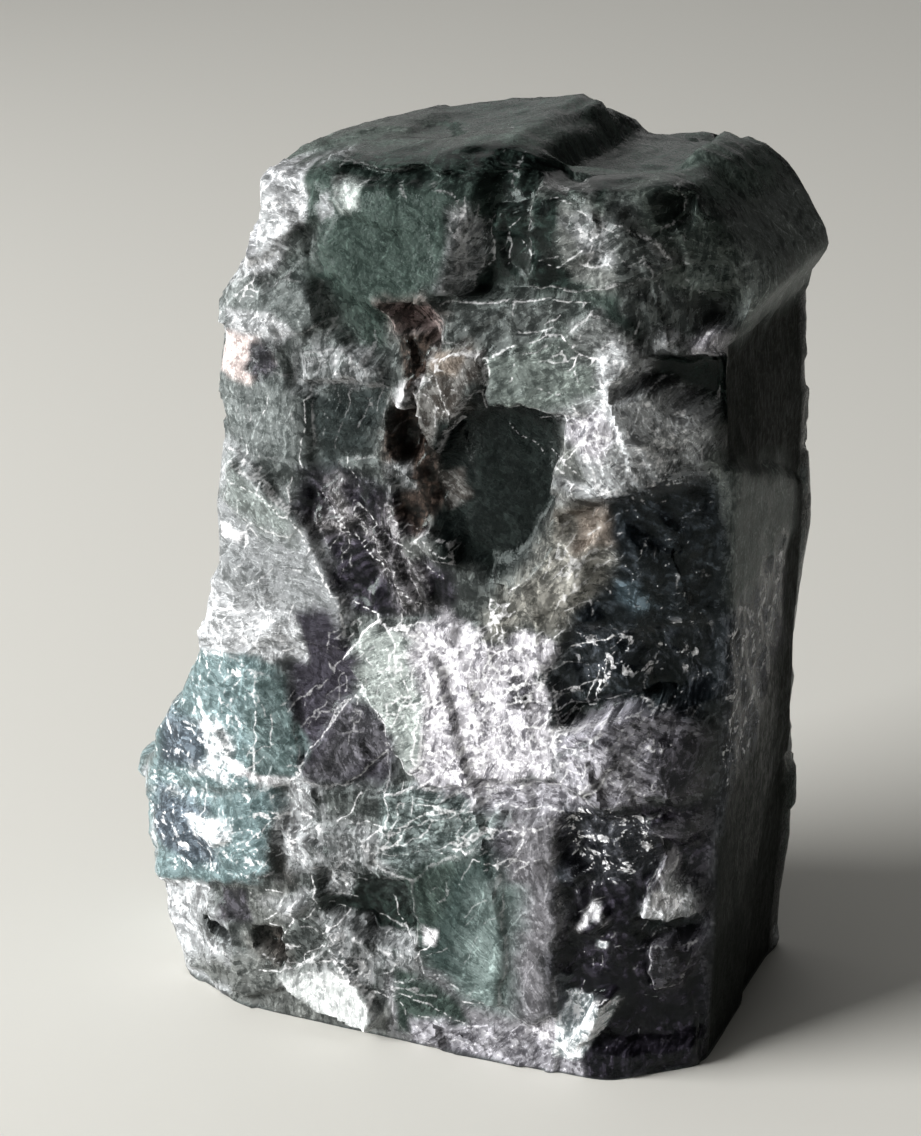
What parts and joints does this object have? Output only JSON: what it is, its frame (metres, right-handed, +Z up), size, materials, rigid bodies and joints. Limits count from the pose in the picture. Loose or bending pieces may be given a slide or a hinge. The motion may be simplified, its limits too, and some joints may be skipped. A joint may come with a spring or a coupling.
{
  "type": "fluorite crystal specimen",
  "caption": "Standing rough block of massive green and purple fluorite with broken, flaked faces and a flat base, for display.",
  "frame": {"origin": "middle of the bounding box, on the flat base", "axes": "+Z up along the block's height, front towards -Y, +X to the right as one faces the front"},
  "size_m": [0.0904, 0.0544, 0.1236],
  "materials": {
    "fluorite": "glassy, translucent, with frosted fracture faces"
  },
  "bodies": {
    "root": {"fluorite_block": "fluorite"}
  },
  "joints": []
}
